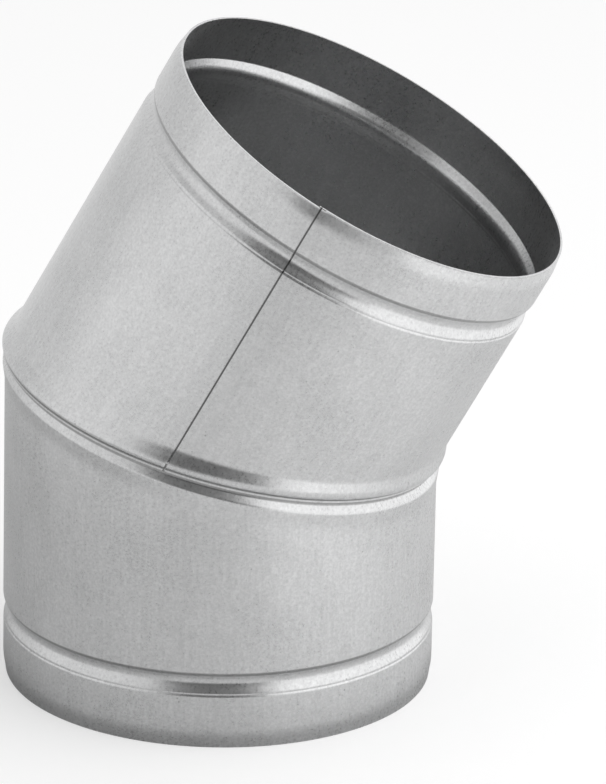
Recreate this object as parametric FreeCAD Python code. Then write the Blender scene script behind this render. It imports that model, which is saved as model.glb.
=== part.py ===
# Duct elbow of two rolled sheet gores, hooked together at the mitre.
# Origin: centre of the lower rim. +Z runs up the lower gore's axis and the upper gore leans to +X.
import FreeCAD, Part
import math
import os

os.makedirs("parts", exist_ok=True)

# Sheet and tube, in mm
sheet = 0.8
duct_radius = 75.0

# Bend: the angle between the gores' axes, and each axis from its rim to the mitre
bend_angle = 28.0
lower_height = 100.0
upper_height = 108.5

# Plain collars, which slip into the next duct, each with its rim drawn in to lead it
collar_radius = 74.9
lower_collar_length = 18.2
upper_collar_length = 17.9
lip_length = 5.0
lip_draw = 0.8

# Groove rolled in behind each collar, its upward side longer than its downward side
groove_depth = 2.0
groove_upward_side = 5.4
groove_downward_side = 4.5

# The mitre joint: the lower gore's neck passes inside the upper gore's lip and hooks over it.
# Heights are above the plain wall, places along each gore's own axis from the mitre plane.
joint_play = 0.3
lip_gap = 0.5
bead_start = 7.4
bead_crest_start = 3.2
bead_crest_end = 1.5
bead_height = 1.75
lip_foot = 0.3
lip_end = -1.2
lip_height = 0.5
neck_length = 2.5
hook_length = 1.6
ring_start = 10.0
ring_crest = 5.2
ring_height = 0.8

# Lengthways lap seam of each rolled sheet, doubled inside
seam_angle = -95.0
seam_lap_width = 9.0

# Places that follow from the sizes above
half_sheet = sheet / 2
wall_line = duct_radius - half_sheet
collar_line = collar_radius - half_sheet
half_bend = math.radians(bend_angle / 2)
joint_length = 1.3 * max(bead_start, ring_start)
mitre_normal = FreeCAD.Vector(-math.sin(half_bend), 0, math.cos(half_bend))
full_turn = 360.0
UP = FreeCAD.Vector(0, 0, 1)
CENTRE = FreeCAD.Vector(0, 0, 0)


def offset_side(path, distance):
    """Edges of one face of the sheet, a distance to the right of a path with sharp corners."""
    points = [FreeCAD.Vector(radius, 0, place) for radius, place in path]
    headings = [(b - a).normalize() for a, b in zip(points, points[1:])]
    sides = [FreeCAD.Vector(heading.z, 0, -heading.x) for heading in headings]
    corners = [points[0] + sides[0] * distance]
    for point, side, next_side in zip(points[1:], sides, sides[1:]):
        mitre = (side + next_side) * (distance / (1 + side.dot(next_side)))
        corners.append(point + mitre)
    corners.append(points[-1] + sides[-1] * distance)
    return [Part.LineSegment(a, b).toShape() for a, b in zip(corners, corners[1:])]


def sheet_section(path):
    """Face in the XZ plane: the sheet's thickness laid evenly on both sides of a path."""
    outer = offset_side(path, half_sheet)
    inner = offset_side(path, -half_sheet)
    outer_ends = outer[0].Vertexes[0].Point, outer[-1].Vertexes[-1].Point
    inner_ends = inner[0].Vertexes[0].Point, inner[-1].Vertexes[-1].Point
    caps = [Part.LineSegment(a, b).toShape() for a, b in zip(outer_ends, inner_ends)]
    return Part.Face(Part.Wire(Part.__sortEdges__(outer + inner + caps)))


def turned(section, shift, azimuth, angle):
    """A section moved out by a shift and turned about the axis, from an azimuth."""
    face = section.copy()
    face.translate(FreeCAD.Vector(shift, 0, 0))
    solid = face.revolve(CENTRE, UP, angle)
    if angle < full_turn:
        solid.rotate(CENTRE, UP, azimuth)
    return solid


def oblique(section):
    """A section turned all round, with its places measured from the mitre plane."""
    shear = FreeCAD.Matrix()
    shear.A31 = math.tan(half_bend)
    return turned(section, 0, 0, full_turn).transformGeometry(shear)


def beyond_mitre():
    """The half of space on the other gore's side, down to where the joint's shape starts."""
    reach = 4 * duct_radius
    block = Part.makeBox(2 * reach, 2 * reach, reach, FreeCAD.Vector(-reach, -reach, -reach))
    block.rotate(CENTRE, FreeCAD.Vector(0, 1, 0), -math.degrees(half_bend))
    block.translate(UP * joint_length)
    return block


def between(section, low, high):
    """The part of a section that lies between two places along the axis."""
    corner = FreeCAD.Vector(0, 0, low)
    side = FreeCAD.Vector(0, -1, 0)
    window = Part.makePlane(2 * duct_radius, high - low, corner, side, FreeCAD.Vector(1, 0, 0))
    return section.common(window).Faces[0]


def mouth_path(height, collar_length, collar_side, wall_side):
    """Middle line of the sheet from past the rim, over the groove, down the plain wall."""
    spare = lip_length + sheet
    shoulder = height - collar_length
    return [
        (collar_line - lip_draw * spare / lip_length, height - lip_length + spare),
        (collar_line, height - lip_length),
        (collar_line, shoulder),
        (wall_line - groove_depth, shoulder - collar_side),
        (wall_line, shoulder - collar_side - wall_side),
        (wall_line, -2 * duct_radius),
    ]


def bead_path():
    """Middle line of the upper gore's end: out over the bead, then in to the lip."""
    crest_line = wall_line + bead_height
    lip_line = wall_line + lip_height
    return [
        (wall_line, joint_length),
        (wall_line, bead_start),
        (crest_line, bead_crest_start),
        (crest_line, bead_crest_end),
        (lip_line, lip_foot),
        (lip_line, lip_end),
    ]


def hook_path():
    """Middle line of the lower gore's end: a ring, then a neck inside the lip and its hook."""
    inside_lip = sheet + joint_play
    neck_line = wall_line + lip_height - inside_lip
    neck_start = lip_gap - lip_end
    neck_end = neck_start - neck_length
    return [
        (wall_line, joint_length),
        (wall_line, ring_start),
        (wall_line + ring_height, ring_crest),
        (neck_line, neck_start),
        (neck_line, neck_end),
        (wall_line + bead_height - inside_lip, neck_end - hook_length),
    ]


def gore(mouth, joint):
    """One gore with its seam, the mitre at the origin, its rim up and its throat at +X."""
    plain = turned(mouth, 0, 0, full_turn).cut(beyond_mitre())
    near = oblique(between(joint, 0, duct_radius))
    flipped = between(joint, -duct_radius, 0).mirror(CENTRE, UP)
    far = oblique(flipped).mirror(CENTRE, mitre_normal)
    lap_angle = math.degrees(seam_lap_width / duct_radius)
    lap = turned(mouth, -sheet, seam_angle, lap_angle).cut(beyond_mitre())
    return plain.fuse([near, far, lap])


lower_line = mouth_path(
    lower_height, lower_collar_length, groove_upward_side, groove_downward_side)
lower_mouth = between(sheet_section(lower_line), -2 * duct_radius, lower_height)
lower_gore = gore(lower_mouth, sheet_section(hook_path()))
lower_gore.rotate(CENTRE, FreeCAD.Vector(1, 0, 0), 180)
lower_gore.translate(UP * lower_height)

upper_line = mouth_path(
    upper_height, upper_collar_length, groove_downward_side, groove_upward_side)
upper_mouth = between(sheet_section(upper_line), -2 * duct_radius, upper_height)
upper_gore = gore(upper_mouth, sheet_section(bead_path()))
upper_gore.rotate(CENTRE, FreeCAD.Vector(0, 1, 0), bend_angle)
upper_gore.translate(UP * lower_height)

for name, piece in {"lower_gore": lower_gore, "upper_gore": upper_gore}.items():
    solids = piece.Solids
    print(name, len(solids), "solid", piece.isValid(), round(piece.Volume, 1), "mm3", piece.BoundBox)
    solids[0].exportStep("parts/" + name + ".step")
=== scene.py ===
import math

import bmesh
import bpy
from mathutils import Matrix, Vector


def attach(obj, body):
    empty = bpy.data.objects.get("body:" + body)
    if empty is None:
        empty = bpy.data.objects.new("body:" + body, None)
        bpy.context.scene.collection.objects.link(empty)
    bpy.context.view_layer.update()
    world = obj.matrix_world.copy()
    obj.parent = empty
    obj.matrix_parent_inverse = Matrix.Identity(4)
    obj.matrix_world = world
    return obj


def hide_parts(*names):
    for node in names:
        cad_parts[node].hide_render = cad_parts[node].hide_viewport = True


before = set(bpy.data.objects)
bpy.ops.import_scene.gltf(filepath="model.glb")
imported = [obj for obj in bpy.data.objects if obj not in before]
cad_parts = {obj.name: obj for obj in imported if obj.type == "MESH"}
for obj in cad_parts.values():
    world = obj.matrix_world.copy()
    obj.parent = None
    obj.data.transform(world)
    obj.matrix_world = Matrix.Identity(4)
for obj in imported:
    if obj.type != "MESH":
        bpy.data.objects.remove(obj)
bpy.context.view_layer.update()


# Upper gore: a zinc-coated steel sheet rolled into a tube and closed by a lengthways lap seam.
# Its open end is a plain collar with a rolled groove behind it. Its other end is cut oblique,
# swelled into a bead and closed in over the hooked end of the lower gore.
mm = 0.001
sheet = 0.8 * mm
duct_radius = 75.0 * mm
collar_radius = 74.9 * mm
wall_line = duct_radius - sheet / 2
collar_line = collar_radius - sheet / 2
bend = math.radians(28.0)
half_bend = bend / 2
lower_height = 100.0 * mm
upper_height = 108.5 * mm
upper_collar_length = 17.9 * mm

# Groove: a V whose bends are rounded, steeper near one edge, with a small step along the other
groove_depth = 2.0 * mm
groove_downward_side = 4.5 * mm
groove_upward_side = 5.4 * mm
collar_side_length = 2.7 * mm
steep_inset = 0.6 * mm
steep_length = 2.1 * mm
steep_drop = 1.6 * mm
gentle_length = 1.5 * mm
gentle_rise = 0.5 * mm
ledge_inset = 0.6 * mm
ledge_start = 1.1 * mm
ledge_end = 1.8 * mm
ledge_drop = 0.3 * mm
steep_round = 0.3 * mm
flank_round = 0.7 * mm
ledge_round = 0.22 * mm
crease_depth = 0.5 * mm

# Rim, drawn in to lead the collar into the next duct, with a small step beside the seam
lip_length = 5.0 * mm
lip_draw = 0.8 * mm
lip_straight = 0.5 * mm
lip_round = 1.5 * mm
rim_step = 0.5 * mm
notch_width = 2.2 * mm
step_fade = math.radians(150.0)

# Joint: heights are over the plain wall, places run along each gore's axis from the mitre plane
joint_play = 0.3 * mm
lip_gap = 1.4 * mm
bead_start = 7.4 * mm
bead_crest_start = 3.2 * mm
bead_crest_end = 1.5 * mm
bead_height = 1.74 * mm
bead_foot = 0.35 * mm
joint_lip_height = 0.5 * mm
joint_lip_start = 0.3 * mm
joint_lip_end = -0.9 * mm
joint_top = 15.0 * mm
crest_line = wall_line + bead_height
joint_lip_line = wall_line + joint_lip_height
support = 1.2 * mm

# Seam: a fine gap in the outer layer, with the lapped edge just behind it
seam_angle = math.radians(-95.0)
seam_gap = 0.65 * mm
seam_middle = seam_angle + 0.5 * seam_gap / duct_radius
lap_width = 9.0 * mm
lap_play = 0.02 * mm
lap_set_back = 0.3 * mm
lap_overhang = 0.06

corner_steps = 4
turn_steps = 360
lap_steps = 8


def groove_path(shoulder, ledge_at_collar):
    """Corners of the rolled groove from the collar's shoulder down to the plain wall."""
    floor_line = wall_line - groove_depth
    if ledge_at_collar:
        bottom = shoulder - groove_upward_side
        foot = bottom - groove_downward_side
        return [
            (collar_line, shoulder - ledge_inset, ledge_round),
            (collar_line - ledge_drop, shoulder - ledge_start, ledge_round),
            (collar_line - ledge_drop, shoulder - ledge_end, ledge_round),
            (floor_line + gentle_rise, bottom + gentle_length, flank_round),
            (floor_line, bottom, flank_round),
            (wall_line - steep_drop, foot + steep_inset + steep_length, flank_round),
            (wall_line, foot + steep_inset, steep_round),
        ]
    bottom = shoulder - groove_downward_side
    foot = bottom - groove_upward_side
    return [
        (collar_line, shoulder, steep_round),
        (collar_line - steep_drop, shoulder - collar_side_length, flank_round),
        (floor_line, bottom, flank_round),
        (floor_line + gentle_rise, bottom - gentle_length, flank_round),
        (wall_line - ledge_drop, foot + ledge_end, ledge_round),
        (wall_line - ledge_drop, foot + ledge_start, ledge_round),
        (wall_line, foot + ledge_inset, ledge_round),
    ]


def mouth_path(height, collar_length, ledge_at_collar):
    """Radius, place and corner reach of the sheet's middle line from the rim to the plain wall."""
    shoulder = height - collar_length
    groove = groove_path(shoulder, ledge_at_collar)
    return [
        (collar_line - lip_draw, height, 0),
        (collar_line - lip_draw, height - lip_straight, 0.3 * lip_straight),
        (collar_line, height - lip_length, lip_round),
        (collar_line, shoulder + 3 * support, 0),
    ] + groove + [(wall_line, groove[-1][1] - 2 * support, 0)]


def draw_profile(bm, path):
    """A chain of edges in the XZ plane with its corners rounded."""
    points = [bm.verts.new((radius, 0, place)) for radius, place, reach in path]
    for pair in zip(points, points[1:]):
        bm.edges.new(pair)
    for point, (radius, place, reach) in zip(points, path):
        if reach:
            bmesh.ops.bevel(
                bm, geom=[point], offset=reach, segments=corner_steps,
                profile=0.5, affect="VERTICES", material=-1)


def roll_sheet(path, start, sweep, steps):
    """A profile turned about the axis, with its joint end laid oblique to it."""
    bm = bmesh.new()
    draw_profile(bm, path)
    bmesh.ops.rotate(bm, verts=bm.verts[:], cent=(0, 0, 0), matrix=Matrix.Rotation(start, 3, "Z"))
    bmesh.ops.spin(
        bm, geom=bm.verts[:] + bm.edges[:], cent=(0, 0, 0), axis=(0, 0, 1),
        dvec=(0, 0, 0), angle=sweep, steps=steps, use_merge=False)
    shear = Matrix.Identity(4)
    shear[2][0] = math.tan(half_bend)
    normal = Vector((-math.sin(half_bend), 0, math.cos(half_bend)))
    through_mitre = Matrix.Scale(-1, 4, normal)
    flip = Matrix.Scale(-1, 4, (0, 0, 1))
    beyond = [vert for vert in bm.verts if vert.co.z < 0]
    near = [vert for vert in bm.verts if 0 <= vert.co.z < joint_top]
    bmesh.ops.transform(bm, matrix=through_mitre @ shear @ flip, verts=beyond)
    bmesh.ops.transform(bm, matrix=shear, verts=near)
    return bm


def seamed_tube(path, lap_profile, step_height):
    """A rolled sheet with a fine gap at its seam, a lap strip behind it and a step in its rim."""
    gap_angle = seam_gap / duct_radius
    bm = roll_sheet(path, seam_angle + gap_angle, 2 * math.pi - gap_angle, turn_steps)
    height = max(vert.co.z for vert in bm.verts)
    notch_end = seam_angle + notch_width / duct_radius
    for vert in bm.verts:
        near_rim = 1 - (height - vert.co.z) / lip_length
        before_seam = (notch_end - math.atan2(vert.co.y, vert.co.x)) % (2 * math.pi)
        if near_rim > 0:
            vert.co.z -= step_height * near_rim * max(0.0, 1 - before_seam / step_fade)
    lap_angle = lap_width / duct_radius
    lap_start = seam_angle - lap_overhang * lap_angle
    lap = roll_sheet(lap_profile, lap_start, lap_angle, lap_steps)
    lap_mesh = bpy.data.meshes.new("lap")
    lap.to_mesh(lap_mesh)
    lap.free()
    bm.from_mesh(lap_mesh)
    bpy.data.meshes.remove(lap_mesh)
    bmesh.ops.recalc_face_normals(bm, faces=bm.faces[:])
    return bm


def lap_path(mouth, joint_end):
    """The sheet's overlapping edge: the same profile just inside the outer layer."""
    inside = [(radius - sheet - lap_play, place, reach) for radius, place, reach in mouth]
    inside[0] = (inside[0][0], inside[0][1] - lap_set_back, 0)
    return inside + [(wall_line - sheet - lap_play, joint_end, 0)]


bead_path = [
    (wall_line, bead_start + 2 * support, 0),
    (wall_line, bead_start, 1.0 * mm),
    (crest_line, bead_crest_start, 0.8 * mm),
    (crest_line, bead_crest_end, 0.5 * mm),
    (joint_lip_line, joint_lip_start, 0.4 * mm),
    (joint_lip_line, joint_lip_end, 0),
]
upper_mouth = mouth_path(upper_height, upper_collar_length, False)


def reckon(tree, operation, *values):
    """A sum on plain numbers and on other nodes' values."""
    node = tree.nodes.new("ShaderNodeMath")
    node.operation = operation
    for socket, value in zip(node.inputs, values):
        if isinstance(value, (int, float)):
            socket.default_value = value
        else:
            tree.links.new(value, socket)
    return node.outputs[0]


def ramp(tree, value, low, high, below, above, kind="SMOOTHSTEP"):
    """A level that changes from one number to another while a value runs from low to high."""
    change = tree.nodes.new("ShaderNodeMapRange")
    change.interpolation_type = kind
    sockets = ("From Min", "From Max", "To Min", "To Max")
    for name, number in zip(sockets, (low, high, below, above)):
        change.inputs[name].default_value = number
    tree.links.new(value, change.inputs["Value"])
    return change.outputs["Result"]


def blend(tree, factor, first, second, kind="FLOAT"):
    """A mix of two levels or two colours."""
    mix = tree.nodes.new("ShaderNodeMix")
    mix.data_type = kind
    for name, value in (("Factor", factor), ("A", first), ("B", second)):
        if isinstance(value, (float, tuple)):
            mix.inputs[name].default_value = value
        else:
            tree.links.new(value, mix.inputs[name])
    return mix.outputs["Result"]


def noise(tree, place, scale, detail, roughness=0.5):
    """A cloudy pattern of a given fineness."""
    pattern = tree.nodes.new("ShaderNodeTexNoise")
    pattern.inputs["Scale"].default_value = scale
    pattern.inputs["Detail"].default_value = detail
    pattern.inputs["Roughness"].default_value = roughness
    tree.links.new(place, pattern.inputs["Vector"])
    return pattern.outputs["Fac"]


dark_zinc = (0.56, 0.563, 0.567, 1)
pale_zinc = (0.82, 0.823, 0.826, 1)
speck_grey = (0.45, 0.45, 0.45, 1)
smoothest = 0.24
roughest = 0.34


def sheet_grain():
    """Node group: fine mottle, lengthways rolling streaks and specks of a zinc coating."""
    group = bpy.data.node_groups.new("zinc_grain", "ShaderNodeTree")
    group.interface.new_socket("Place", in_out="INPUT", socket_type="NodeSocketVector")
    group.interface.new_socket("Tone", in_out="OUTPUT", socket_type="NodeSocketColor")
    group.interface.new_socket("Roughness", in_out="OUTPUT", socket_type="NodeSocketFloat")
    group.interface.new_socket("Height", in_out="OUTPUT", socket_type="NodeSocketFloat")
    place = group.nodes.new("NodeGroupInput").outputs["Place"]
    out = group.nodes.new("NodeGroupOutput")

    mottle = noise(group, place, 900.0, 4.0, 0.8)
    stretch = group.nodes.new("ShaderNodeMapping")
    stretch.inputs["Scale"].default_value = (1.0, 1.0, 0.06)
    group.links.new(place, stretch.inputs["Vector"])
    streaks = noise(group, stretch.outputs["Vector"], 900.0, 2.0)
    grain = reckon(group, "MULTIPLY_ADD", streaks, 0.2, mottle)
    clouds = noise(group, place, 32.0, 4.0, 0.55)
    cloudy = reckon(group, "MULTIPLY_ADD", clouds, 0.35, grain)
    paleness = ramp(group, cloudy, 0.56, 1.0, 0.0, 1.0, "LINEAR")
    greys = blend(group, paleness, dark_zinc, pale_zinc, "RGBA")

    specks = group.nodes.new("ShaderNodeTexVoronoi")
    specks.inputs["Scale"].default_value = 420.0
    group.links.new(place, specks.inputs["Vector"])
    speck_size = ramp(group, noise(group, place, 90.0, 1.0), 0.62, 0.72, 0.0, 0.14, "LINEAR")
    in_speck = reckon(group, "LESS_THAN", specks.outputs["Distance"], speck_size)
    spotted = blend(group, in_speck, greys, speck_grey, "RGBA")

    rough = ramp(group, cloudy, 0.45, 1.1, smoothest, roughest, "LINEAR")
    for name, value in (("Tone", spotted), ("Roughness", rough), ("Height", grain)):
        group.links.new(value, out.inputs[name])
    return group


zinc_grain = sheet_grain()
# Painted shade: a dark grey laid into the base colour along the seam's gap, the groove's crease,
# the gap under the joint's lip and the bead's foot, where shadow falls in those recesses.
painted_shade_grey = (0.16, 0.16, 0.16, 1)
seam_painted_shadow = (0.6 * seam_gap / duct_radius, 1.0)
crease_painted_shade = (0.9 * mm, 0.55)
gap_painted_shadow = (0.7 * lip_gap, 0.65)
bead_foot_painted_shade = (0.7 * mm, 0.7)


def dark_line(tree, value, middle, half_width, strength):
    """A soft mask where a value comes near a middle, used to paint shade along a seam, crease or
    gap.
    """
    distance = reckon(tree, "ABSOLUTE", reckon(tree, "SUBTRACT", value, middle))
    return ramp(tree, distance, 0.5 * half_width, half_width, strength, 0.0)


def zinc_material(name, tilt, corner, seam_place, crease_place):
    """Zinc-coated sheet whose grain runs along a tube's axis, with painted shade darkening its
    seam, crease, joint gap and bead foot.
    """
    material = bpy.data.materials.new(name)
    material.use_nodes = True
    tree = material.node_tree
    shader = tree.nodes["Principled BSDF"]
    shader.inputs["Metallic"].default_value = 1.0
    place = tree.nodes.new("ShaderNodeTexCoord").outputs["Object"]
    align = tree.nodes.new("ShaderNodeMapping")
    align.vector_type = "TEXTURE"
    align.inputs["Location"].default_value = corner
    align.inputs["Rotation"].default_value = (0, tilt, 0)
    tree.links.new(place, align.inputs["Vector"])
    grain = tree.nodes.new("ShaderNodeGroup")
    grain.node_tree = zinc_grain
    tree.links.new(align.outputs["Vector"], grain.inputs["Place"])
    bump = tree.nodes.new("ShaderNodeBump")
    bump.inputs["Strength"].default_value = 0.25
    bump.inputs["Distance"].default_value = 0.02 * mm
    tree.links.new(grain.outputs["Height"], bump.inputs["Height"])
    tree.links.new(grain.outputs["Roughness"], shader.inputs["Roughness"])
    tree.links.new(bump.outputs["Normal"], shader.inputs["Normal"])

    along = tree.nodes.new("ShaderNodeSeparateXYZ")
    tree.links.new(align.outputs["Vector"], along.inputs["Vector"])
    azimuth = reckon(tree, "ARCTAN2", along.outputs["Y"], along.outputs["X"])
    from_axis = tree.nodes.new("ShaderNodeCombineXYZ")
    tree.links.new(along.outputs["X"], from_axis.inputs["X"])
    tree.links.new(along.outputs["Y"], from_axis.inputs["Y"])
    radius = tree.nodes.new("ShaderNodeVectorMath")
    radius.operation = "LENGTH"
    tree.links.new(from_axis.outputs[0], radius.inputs[0])
    outside = reckon(tree, "GREATER_THAN", radius.outputs["Value"], wall_line - 0.6 * mm)
    from_mitre = tree.nodes.new("ShaderNodeVectorMath")
    from_mitre.operation = "DOT_PRODUCT"
    from_mitre.inputs[1].default_value = (math.sin(half_bend), 0, math.cos(half_bend))
    tree.links.new(place, from_mitre.inputs[0])

    gap_place = (lower_height + joint_lip_end - lip_gap / 2) * math.cos(half_bend)
    foot_place = (lower_height + bead_foot) * math.cos(half_bend)
    # Shade is painted into the base colour as dark lines at the seam, the crease, the lip's gap and
    # the bead's foot.
    shade_mask = dark_line(tree, azimuth, seam_place, *seam_painted_shadow)
    for value, middle, line_look in (
            (along.outputs["Z"], crease_place, crease_painted_shade),
            (from_mitre.outputs["Value"], gap_place, gap_painted_shadow),
            (from_mitre.outputs["Value"], foot_place, bead_foot_painted_shade)):
        line = dark_line(tree, value, middle, *line_look)
        shade_mask = reckon(tree, "MAXIMUM", shade_mask, reckon(tree, "MULTIPLY", line, outside))
    tone_with_painted_shade = blend(tree, shade_mask, grain.outputs["Tone"], painted_shade_grey, "RGBA")
    tree.links.new(tone_with_painted_shade, shader.inputs["Base Color"])
    return material


def finish_gore(name, node, bm, placing, material):
    """The rolled mesh put in place and given the sheet's thickness and finish."""
    bmesh.ops.transform(bm, matrix=placing, verts=bm.verts[:])
    mesh = bpy.data.meshes.new(name)
    bm.to_mesh(mesh)
    bm.free()
    mesh.shade_smooth()
    mesh.materials.append(material)
    piece = bpy.data.objects.new(name, mesh)
    bpy.context.scene.collection.objects.link(piece)
    wall = piece.modifiers.new("sheet", "SOLIDIFY")
    wall.thickness = sheet
    wall.offset = 0
    wall.use_even_offset = True
    edge = piece.modifiers.new("cut edges", "EDGE_SPLIT")
    edge.split_angle = math.radians(50)
    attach(piece, "root")
    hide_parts(node)


mitre = Matrix.Translation((0, 0, lower_height))
upper_bm = seamed_tube(upper_mouth + bead_path, lap_path(upper_mouth, bead_start), rim_step)
upper_crease = upper_height - upper_collar_length - crease_depth
finish_gore(
    "upper_gore_sheet", "upper_gore", upper_bm, mitre @ Matrix.Rotation(bend, 4, "Y"),
    zinc_material("zinc_upper", bend, (0, 0, lower_height), seam_middle, upper_crease))


# Lower gore: a second rolled sheet of the same make, with the collar that stands on the floor.
# Its oblique end has a small ring, then a neck that passes inside the bead and hooks over in it.
lower_collar_length = 18.2 * mm
inside_lip = sheet + joint_play
neck_line = joint_lip_line - inside_lip
neck_start = lip_gap - joint_lip_end
neck_length = 3.1 * mm
neck_end = neck_start - neck_length
hook_length = 1.6 * mm
hook_line = crest_line - inside_lip
ring_start = 10.0 * mm
ring_crest = 5.0 * mm
ring_height = 0.8 * mm
hook_path = [
    (wall_line, ring_start + 2 * support, 0),
    (wall_line, ring_start, 1.5 * mm),
    (wall_line + ring_height, ring_crest, 0.5 * mm),
    (neck_line, neck_start, 0.4 * mm),
    (neck_line, neck_end, 0.3 * mm),
    (hook_line, neck_end - hook_length, 0),
]
lower_mouth = mouth_path(lower_height, lower_collar_length, True)
lower_bm = seamed_tube(lower_mouth + hook_path, lap_path(lower_mouth, ring_start), 0.0)
groove_foot = lower_collar_length + groove_upward_side + groove_downward_side - steep_inset
finish_gore(
    "lower_gore_sheet", "lower_gore", lower_bm, mitre @ Matrix.Rotation(math.pi, 4, "X"),
    zinc_material("zinc_lower", 0.0, (0, 0, 0), -seam_middle, groove_foot - crease_depth))


# Studio floor: a wide satin table that the loose elbow stands on. The camera sees it as a white
# sheet with the elbow's shadow. The metal mirrors the table's grey, painted paler on the right
# where the light falls and painted darker near the elbow's foot as shadow.
floor_reach = 8.0
across_turn = math.radians(20.8)
left_grey = 0.5
right_grey = 0.79
foot_shade = 0.6
sheet_white_grey = (0.62, 0.62, 0.62, 1)
sheet_glow_strength = 0.4
floor_bm = bmesh.new()
bmesh.ops.create_grid(floor_bm, x_segments=1, y_segments=1, size=floor_reach)
floor_mesh = bpy.data.meshes.new("floor")
floor_bm.to_mesh(floor_mesh)
floor_bm.free()
floor = bpy.data.objects.new("floor", floor_mesh)
bpy.context.scene.collection.objects.link(floor)

table = bpy.data.materials.new("satin_table")
table.use_nodes = True
table_tree = table.node_tree
satin = table_tree.nodes["Principled BSDF"]
satin.inputs["Roughness"].default_value = 0.5
table_place = table_tree.nodes.new("ShaderNodeTexCoord").outputs["Object"]
across = table_tree.nodes.new("ShaderNodeMapping")
across.inputs["Rotation"].default_value = (0, 0, across_turn)
table_tree.links.new(table_place, across.inputs["Vector"])
sideways = table_tree.nodes.new("ShaderNodeSeparateXYZ")
table_tree.links.new(across.outputs["Vector"], sideways.inputs["Vector"])
from_middle = table_tree.nodes.new("ShaderNodeVectorMath")
from_middle.operation = "LENGTH"
table_tree.links.new(table_place, from_middle.inputs[0])
reach = from_middle.outputs["Value"]
# Painted light: the table's grey runs from darker on the left to paler on the right, where the lamp
# falls.
painted_side_light_grey = ramp(table_tree, sideways.outputs["X"], -0.25, 0.25, left_grey, right_grey)
# Painted shadow: the table's grey is darker in a ring close around the elbow's foot.
near_foot = ramp(table_tree, reach, 0.076, 0.092, foot_shade, 1.0)
shaded_grey = reckon(table_tree, "MULTIPLY", painted_side_light_grey, near_foot)
table_tree.links.new(shaded_grey, satin.inputs["Base Color"])

past_edge = table_tree.nodes.new("ShaderNodeBsdfTransparent")
table_top = table_tree.nodes.new("ShaderNodeMixShader")
table_tree.links.new(ramp(table_tree, reach, 0.28, 0.42, 0.0, 1.0), table_top.inputs["Fac"])
table_tree.links.new(satin.outputs[0], table_top.inputs[1])
table_tree.links.new(past_edge.outputs[0], table_top.inputs[2])
sheet_white = table_tree.nodes.new("ShaderNodeBsdfDiffuse")
sheet_white.inputs["Color"].default_value = sheet_white_grey
sheet_glow = table_tree.nodes.new("ShaderNodeEmission")
sheet_glow.inputs["Strength"].default_value = sheet_glow_strength
white_sheet = table_tree.nodes.new("ShaderNodeAddShader")
table_tree.links.new(sheet_white.outputs[0], white_sheet.inputs[0])
table_tree.links.new(sheet_glow.outputs[0], white_sheet.inputs[1])
seen = table_tree.nodes.new("ShaderNodeLightPath")
either = table_tree.nodes.new("ShaderNodeMixShader")
table_tree.links.new(seen.outputs["Is Camera Ray"], either.inputs["Fac"])
table_tree.links.new(table_top.outputs[0], either.inputs[1])
table_tree.links.new(white_sheet.outputs[0], either.inputs[2])
table_tree.links.new(either.outputs[0], table_tree.nodes["Material Output"].inputs["Surface"])
floor_mesh.materials.append(table)


# Camera: a long lens, a little above the elbow, turned so that the bend leans to the right.
photo_height = 784
focal_pixels = 8243.7
view_distance = 38.0 * duct_radius
view_azimuth = math.radians(9.21)
view_elevation = math.radians(20.94)
view_roll = math.radians(1.15)
view_target = Matrix.Rotation(view_azimuth, 4, "Z") @ Vector((0.3752, 0, 1.3644)) * duct_radius
camera_data = bpy.data.cameras.new("camera")
camera_data.sensor_width = 36.0
camera_data.lens = focal_pixels * camera_data.sensor_width / photo_height
camera_data.clip_end = 50.0
camera = bpy.data.objects.new("camera", camera_data)
bpy.context.scene.collection.objects.link(camera)
aim = (
    Matrix.Rotation(view_azimuth, 4, "Z")
    @ Matrix.Rotation(math.pi / 2 - view_elevation, 4, "X")
    @ Matrix.Rotation(view_roll, 4, "Z"))
backwards = aim.to_3x3() @ Vector((0, 0, 1))
camera.matrix_world = Matrix.Translation(view_target + backwards * view_distance) @ aim
bpy.context.scene.camera = camera


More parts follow.
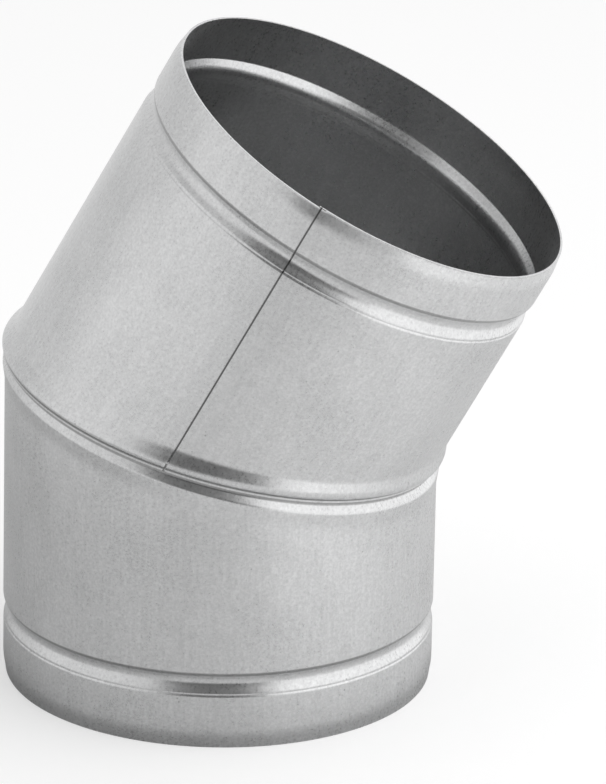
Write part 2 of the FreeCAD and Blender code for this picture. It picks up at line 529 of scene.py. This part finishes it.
# Studio light: one large soft lamp, high on the right, and a pale room that the metal mirrors.
# The room is darker in front, where the camera stands, and overhead and behind on the left.
lamp_azimuth = math.radians(65)
lamp_elevation = math.radians(68)
lamp_distance = 1.6
lamp_data = bpy.data.lights.new("overhead", "AREA")
lamp_data.size = 1.8
lamp_data.energy = 14
lamp = bpy.data.objects.new("overhead", lamp_data)
bpy.context.scene.collection.objects.link(lamp)
lamp_turn = (
    Matrix.Rotation(view_azimuth + lamp_azimuth, 4, "Z")
    @ Matrix.Rotation(math.pi / 2 - lamp_elevation, 4, "X"))
away = lamp_turn.to_3x3() @ Vector((0, 0, 1))
lamp_place = Vector((0, 0, lower_height)) + away * lamp_distance
lamp.matrix_world = Matrix.Translation(lamp_place) @ lamp_turn
lamp.visible_camera = False

left_level = 0.85
right_level = 1.2
behind_level = 0.85
behind_left_level = 0.72
low_front_level = 0.72
high_front_level = 0.11
overhead_level = 0.4
camera_level = 1.0
world = bpy.data.worlds.new("room")
bpy.context.scene.world = world
world.use_nodes = True
room = world.node_tree
direction = room.nodes.new("ShaderNodeTexCoord")
from_camera = room.nodes.new("ShaderNodeMapping")
from_camera.inputs["Rotation"].default_value = (0, 0, math.pi / 2 - view_azimuth)
room.links.new(direction.outputs["Generated"], from_camera.inputs["Vector"])
parts = room.nodes.new("ShaderNodeSeparateXYZ")
room.links.new(from_camera.outputs["Vector"], parts.inputs["Vector"])
rightward = parts.outputs["Y"]
upward = parts.outputs["Z"]
azimuth = reckon(room, "ARCTAN2", rightward, parts.outputs["X"])
off_camera = reckon(room, "ABSOLUTE", azimuth)

side = ramp(room, rightward, -0.4, 0.4, left_level, right_level)
behind = ramp(room, off_camera, math.radians(140), math.radians(165), 0.0, 1.0)
level = blend(room, behind, side, behind_level)
behind_left = ramp(room, rightward, -0.6, -0.2, behind_left_level, behind_level)
past_left = ramp(room, azimuth, math.radians(-115), math.radians(-92), 1.0, 0.0)
level = blend(room, past_left, level, behind_left)
front_low = math.sin(math.radians(-16))
front_high = math.sin(math.radians(2))
front = ramp(room, upward, front_low, front_high, low_front_level, high_front_level)
beside = ramp(room, off_camera, math.radians(20), math.radians(36), 0.0, 1.0)
level = blend(room, beside, front, level)
overhead = ramp(room, upward, math.sin(math.radians(42)), math.sin(math.radians(58)), 0.0, 1.0)
level = blend(room, overhead, level, overhead_level)
ray = room.nodes.new("ShaderNodeLightPath")
level = blend(room, ray.outputs["Is Camera Ray"], level, camera_level)
background = room.nodes["Background"]
background.inputs["Color"].default_value = (1, 1, 1, 1)
room.links.new(level, background.inputs["Strength"])
bpy.context.scene.view_settings.view_transform = "Standard"
